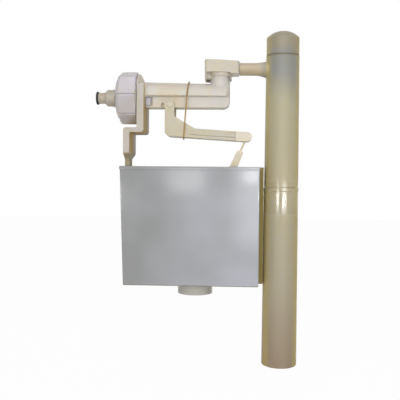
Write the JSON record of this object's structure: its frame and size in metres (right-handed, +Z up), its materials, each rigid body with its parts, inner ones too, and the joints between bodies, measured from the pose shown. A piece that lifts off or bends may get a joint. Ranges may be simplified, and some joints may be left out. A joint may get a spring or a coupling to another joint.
{
  "type": "toilet fill valve",
  "caption": "Side-inlet cistern fill valve: a float in its own open cup works a lever and plunger, and water leaves through a hooded riser into a silencer pipe.",
  "frame": {"origin": "on the inlet thread's axis, in the plane of the hole in the cistern's wall, at the tail's collar", "axes": "+X from the wall inlet towards the silencer pipe, +Y from the front in the picture to the back, +Z up"},
  "size_m": [0.2022, 0.0524, 0.3303],
  "materials": {
    "cream_plastic": "satin moulded acetal, warm cream",
    "nut_plastic": "satin moulded plastic, faint lavender white",
    "milky_pipe": "satin extruded polyethylene, yellowish beige",
    "grey_cup": "glossy moulded polypropylene, cool grey",
    "bell_plastic": "thin moulded plastic, white",
    "black_rubber": "matt black rubber",
    "band_rubber": "tan natural rubber",
    "pin_steel": "drawn stainless wire"
  },
  "bodies": {
    "valve": {"inlet_seal_ring": "black_rubber", "inlet_strainer": "nut_plastic", "inlet_tail": "cream_plastic", "union_nut": "nut_plastic", "diaphragm": "black_rubber", "valve_body": "cream_plastic", "lever_pivot_pin": "cream_plastic", "rubber_band": "band_rubber", "float_hanger": "cream_plastic", "float_hinge_pin": "pin_steel", "float_cup": "grey_cup", "drain_cage": "nut_plastic", "outlet_hood": "cream_plastic", "riser_seal": "black_rubber", "standpipe_tee": "milky_pipe", "standpipe_cap": "milky_pipe", "standpipe_sleeve": "milky_pipe", "standpipe_tube": "milky_pipe"},
    "lever": {"lever": "cream_plastic", "lever_end_pin": "pin_steel"},
    "link": {"link_rod": "cream_plastic", "link_clip": "cream_plastic"},
    "float": {"float_plate": "nut_plastic", "float_bell": "bell_plastic", "float_link_pin": "pin_steel"},
    "plunger": {"plunger": "nut_plastic"},
    "drain": {"drain_disc": "cream_plastic"}
  },
  "joints": [
    {"name": "lever_pivot", "type": "hinge", "parent": "valve", "child": "lever", "pos_m": [0.056, 0, -0.0075], "axis": [0, 1, 0], "range_deg": [0, 10], "stiffness_Nm_per_rad": 0.12, "springref_deg": -28.65, "deforming": ["rubber_band"]},
    {"name": "plunger_slide", "type": "slide", "parent": "valve", "child": "plunger", "axis": [1, 0, 0], "range_m": [0, 0.0013]},
    {"name": "link_swing", "type": "hinge", "parent": "lever", "child": "link", "pos_m": [0.1319, 0, -0.0383], "axis": [0, 1, 0], "range_deg": [-20, 0]},
    {"name": "float_hinge", "type": "hinge", "parent": "valve", "child": "float", "pos_m": [0.0139, 0, -0.075], "axis": [0, 1, 0], "range_deg": [0, 8.5]},
    {"name": "drain_slide", "type": "slide", "parent": "valve", "child": "drain", "axis": [0, 0, 1], "range_m": [0, 0.0025]}
  ],
  "couplings": [
    {"joint": "plunger_slide", "follows": "lever_pivot", "m_per_rad": 0.0072},
    {"joint": "link_swing", "follows": "lever_pivot", "ratio": -1.9494},
    {"joint": "float_hinge", "follows": "lever_pivot", "ratio": 0.8292}
  ]
}
